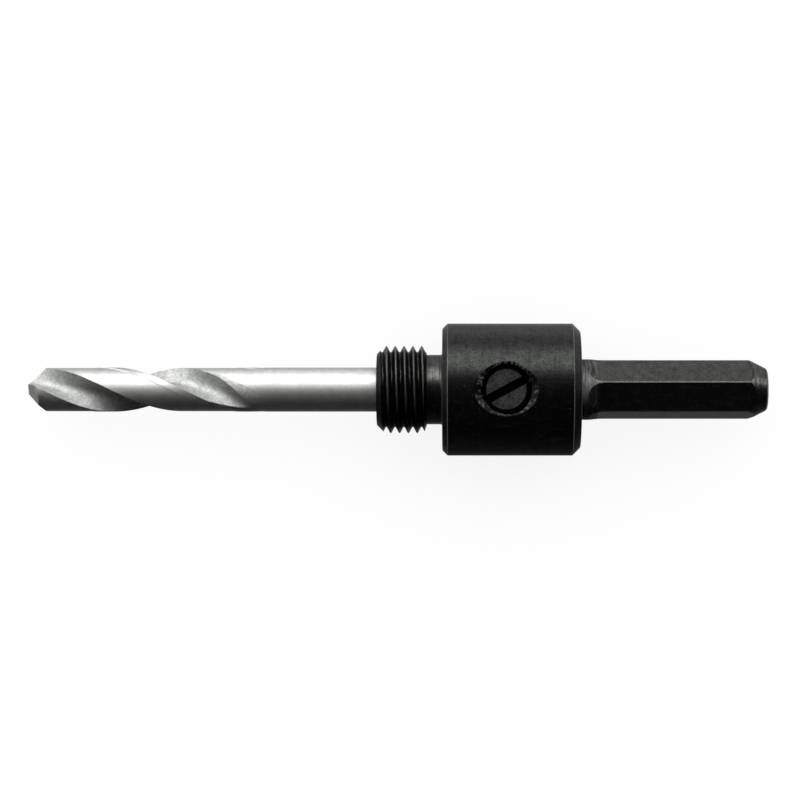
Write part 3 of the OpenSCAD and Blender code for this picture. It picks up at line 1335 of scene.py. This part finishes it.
@dataclass(frozen=True)
class StudioCards:
    """Cards that stand round the arbor, light it from +Y and show in its reflections.

    Angles run from +Z towards +Y in degrees, lengths are in millimetres, and a brightness of 1 is white.

    Attributes:
        wall: Angle and brightness of the curved wall.
        gap: Place along the arbor and share of the wall's brightness there.
        left: Angle and brightness of the part of the wall far before the drill's tip.
        left_share: Place along the arbor and share of that part's brightness.
        distance: Distance of the wall from the axis.
        reach: Half the length of the wall.
        panel: Distance from the axis and brightness of the panel behind the wall that lights the scene.
        panel_reach: Half the length of that panel.
        front_end: Distance towards +Y and brightness of the wall's end in front of the drill.
        back_end: The same of the wall's end behind the shank.
        shaded_floor: Distance from the axis and brightness of the floor's card on the -Y side, painted shade
            that stands for the arbor's shadow on the floor in reflections.
        lit_floor: The same on the +Y side, dimmer near the arbor as painted shade of its shadow in
            reflections.
        tip_floor: Place of the end near the tip, and brightness, of the floor's card before the drill.
        floor_z: Height of the cards on the floor.
    """

    wall: tuple[tuple[float, float], ...] = (
        (-91, 0.012), (2, 0.012), (12, 0.08), (24, 0.16), (30, 0.6), (34, 2.5),
        (38, 5.0), (60, 5.0), (70, 3.2), (79, 1.4), (86, 0.95), (91, 0.9),
    )
    gap: tuple[tuple[float, float], ...] = ((130, 1.0), (300, 0.5), (500, 0.4), (680, 1.0))
    left: tuple[tuple[float, float], ...] = ((-24, 0.012), (-12, 0.3), (0, 2.4), (20, 4.0), (36, 5.0))
    left_share: tuple[tuple[float, float], ...] = ((-620, 1.0), (-480, 0.8), (-360, 0.0))
    distance: float = 560.0
    reach: float = 1000.0
    panel: tuple[float, float] = (600.0, 1.5)
    panel_reach: float = 700.0
    front_end: tuple[tuple[float, float], ...] = ((-600, 0.04), (0, 0.30), (600, 1.1))
    back_end: tuple[tuple[float, float], ...] = ((-600, 0.02), (0, 0.06), (600, 0.7))
    shaded_floor: tuple[tuple[float, float], ...] = (
        (3, 0.38), (6, 0.28), (9.5, 0.18), (14, 0.08), (20, 0.05), (560, 0.03),
    )
    lit_floor: tuple[tuple[float, float], ...] = ((5, 0.46), (12, 0.42), (21, 0.46), (30, 1.0), (560, 1.0))
    tip_floor: tuple[float, float] = (-61.5, 0.12)
    floor_z: float = -9.3

    def build(self) -> None:
        """Builds the cards."""
        angles = [-91 + 2 * step for step in range(92)]
        changes = [place for place, _ in self.left_share + self.gap]
        studio_card("curved_wall", [-self.reach, *changes, self.reach], angles, self.wall_point)
        length = (-self.panel_reach, self.panel_reach)
        angles = [8 + 6 * step for step in range(13)]
        studio_card("bright_panel", length, angles, self.panel_point, lamp=True)
        heights = (-10, self.distance + 10)
        for name, side, table in (("front_end", -1, self.front_end), ("back_end", 1, self.back_end)):
            studio_card(name, heights, [key for key, _ in table], self.end_point(side, table))
        length = (-self.reach, self.reach)
        # The floor cards show painted shade of the arbor's shadow on the floor in reflections.
        for name, side, table in (("shaded_floor", -1, self.shaded_floor), ("lit_floor", 1, self.lit_floor)):
            studio_card(name, length, [key for key, _ in table], self.floor_point(side, table))
        length = (-self.reach, self.tip_floor[0])
        studio_card("floor_before_tip", length, (-3, 8), self.tip_floor_point)

    def round_point(self, along: float, angle: float, distance: float) -> Vector:
        """Returns a point at an angle and a distance from the arbor's axis."""
        turn = math.radians(angle)
        return Vector((along, distance * math.sin(turn), distance * math.cos(turn)))

    def wall_point(self, along: float, angle: float) -> tuple[Vector, float]:
        """Gives a point of the curved wall.

        Args:
            along: Place along the arbor.
            angle: Angle from +Z towards +Y, in degrees.

        Returns:
            Its position in millimetres and its brightness.
        """
        bright = interpolate(self.wall, angle) * interpolate(self.gap, along)
        if angle < self.left[-1][0]:
            bright = max(bright, interpolate(self.left, angle) * interpolate(self.left_share, along))
        return self.round_point(along, angle, self.distance), bright

    def panel_point(self, along: float, angle: float) -> tuple[Vector, float]:
        """Returns a point of the panel that lights the scene, and its brightness."""
        return self.round_point(along, angle, self.panel[0]), self.panel[1]

    def end_point(
        self, side: int, table: Sequence[tuple[float, float]]
    ) -> Callable[[float, float], tuple[Vector, float]]:
        """Returns the places and brightness of a wall's end."""
        return lambda height, y: (Vector((side * self.reach, y, height)), interpolate(table, y))

    def floor_point(
        self, side: int, table: Sequence[tuple[float, float]]
    ) -> Callable[[float, float], tuple[Vector, float]]:
        """Returns the places and brightness of a card on the floor."""
        return lambda along, away: (Vector((along, side * away, self.floor_z)), interpolate(table, away))

    def tip_floor_point(self, along: float, y: float) -> tuple[Vector, float]:
        """Returns a point of the card on the floor before the drill's tip, and its brightness."""
        return Vector((along, y, self.floor_z)), self.tip_floor[1]


@dataclass(frozen=True)
class Studio:
    """Camera, floor, light and reflection cards.

    Attributes:
        floor_z: Height of the floor, in millimetres.
        camera_x: Place of the camera along the arbor, in millimetres.
        camera_height: Height of the camera over the arbor's axis, in millimetres.
        frame_width: Width that the camera takes in at the axis, in millimetres.
        frame_centre: Place of the frame's centre, in millimetres.
        glow: Brightness that the floor shows by itself to the camera and in reflections.
        glow_share: Share of that brightness in what the camera and the reflections see of the floor.
        fill: Brightness of the world where it lights the scene. It is 1 where it is seen.
    """

    floor_z: float = -9.5
    camera_x: float = 3.0
    camera_height: float = 400.0
    frame_width: float = 115.19
    frame_centre: tuple[float, float] = (-6.1, -1.5)
    glow: float = 1.05
    glow_share: float = 0.80
    fill: float = 0.62

    def build(self) -> None:
        """Builds the studio."""
        self.place_camera()
        self.lay_floor()
        self.light()
        StudioCards().build()

    def place_camera(self) -> None:
        """Places the camera straight over the arbor."""
        data = bpy.data.cameras.new("camera")
        data.sensor_width = 36.0
        data.lens = data.sensor_width * self.camera_height / self.frame_width
        data.shift_x = (self.frame_centre[0] - self.camera_x) / self.frame_width
        data.clip_start = 0.01
        data.clip_end = 20.0
        camera = bpy.data.objects.new("camera", data)
        camera.location = Vector((self.camera_x, self.frame_centre[1], self.camera_height)) * MM
        bpy.context.scene.collection.objects.link(camera)
        bpy.context.scene.camera = camera

    def lay_floor(self) -> None:
        """Lays the white floor, which keeps the arbor's shadow."""
        bm = bmesh.new()
        bmesh.ops.create_grid(bm, x_segments=1, y_segments=1, size=3.0)
        bmesh.ops.translate(bm, vec=(0, 0, self.floor_z * MM), verts=bm.verts)
        floor = finished_object("floor", bm)
        graph = Graph("white_floor")
        path = graph.add("ShaderNodeLightPath").outputs
        mirrored = graph.math("MAXIMUM", path["Is Glossy Ray"], path["Is Transmission Ray"])
        direct = graph.math("MAXIMUM", path["Is Camera Ray"], mirrored)
        mix = graph.add("ShaderNodeMixShader")
        graph.feed(mix.inputs[0], graph.math("MULTIPLY", direct, self.glow_share))
        paint = graph.add("ShaderNodeBsdfDiffuse", None, Color=(0.94, 0.94, 0.94, 1))
        glow = graph.add("ShaderNodeEmission", None, Strength=self.glow)
        graph.feed(mix.inputs[1], paint.outputs[0])
        graph.feed(mix.inputs[2], glow.outputs[0])
        floor.data.materials.append(graph.finish(mix))

    def light(self) -> None:
        """Sets a plain white world, which is a little dimmer where it lights the scene."""
        world = bpy.data.worlds.new("studio")
        world.use_nodes = True
        bpy.context.scene.world = world
        nodes, links = world.node_tree.nodes, world.node_tree.links
        background = nodes["Background"]
        background.inputs["Color"].default_value = (1, 1, 1, 1)
        path = nodes.new("ShaderNodeLightPath").outputs
        seen = path["Is Camera Ray"]
        for name in ("Is Glossy Ray", "Is Transmission Ray"):
            either = nodes.new("ShaderNodeMath")
            either.operation = "MAXIMUM"
            links.new(seen, either.inputs[0])
            links.new(path[name], either.inputs[1])
            seen = either.outputs[0]
        strength = nodes.new("ShaderNodeMapRange")
        strength.inputs["To Min"].default_value = self.fill
        strength.inputs["To Max"].default_value = 1.0
        links.new(seen, strength.inputs["Value"])
        links.new(strength.outputs[0], background.inputs["Strength"])


def main() -> None:
    """Builds every piece in order."""
    bpy.context.scene.view_settings.view_transform = "Standard"
    Studio().build()
    oxide = BlackOxide().material()
    bright = GroundSteel().material()
    dress(ArborBody().build(TappedHole()), oxide, Body.ARBOR, Node.ARBOR_BODY)
    dress(PilotDrill().build(), bright, Body.DRILL, Node.PILOT_DRILL)
    # The screw's finish dims the gloss below recess_z, painted shade in its slot.
    thin = BlackOxide("rubbed_black_oxide", gloss=(0.02, 0.10), roughness=0.50, bump=0.5, recess_z=7.6)
    rubbed = thin.material()
    dress(SetScrew().build(), rubbed, Body.SCREW, Node.SET_SCREW)


if __name__ == "__main__":
    main()
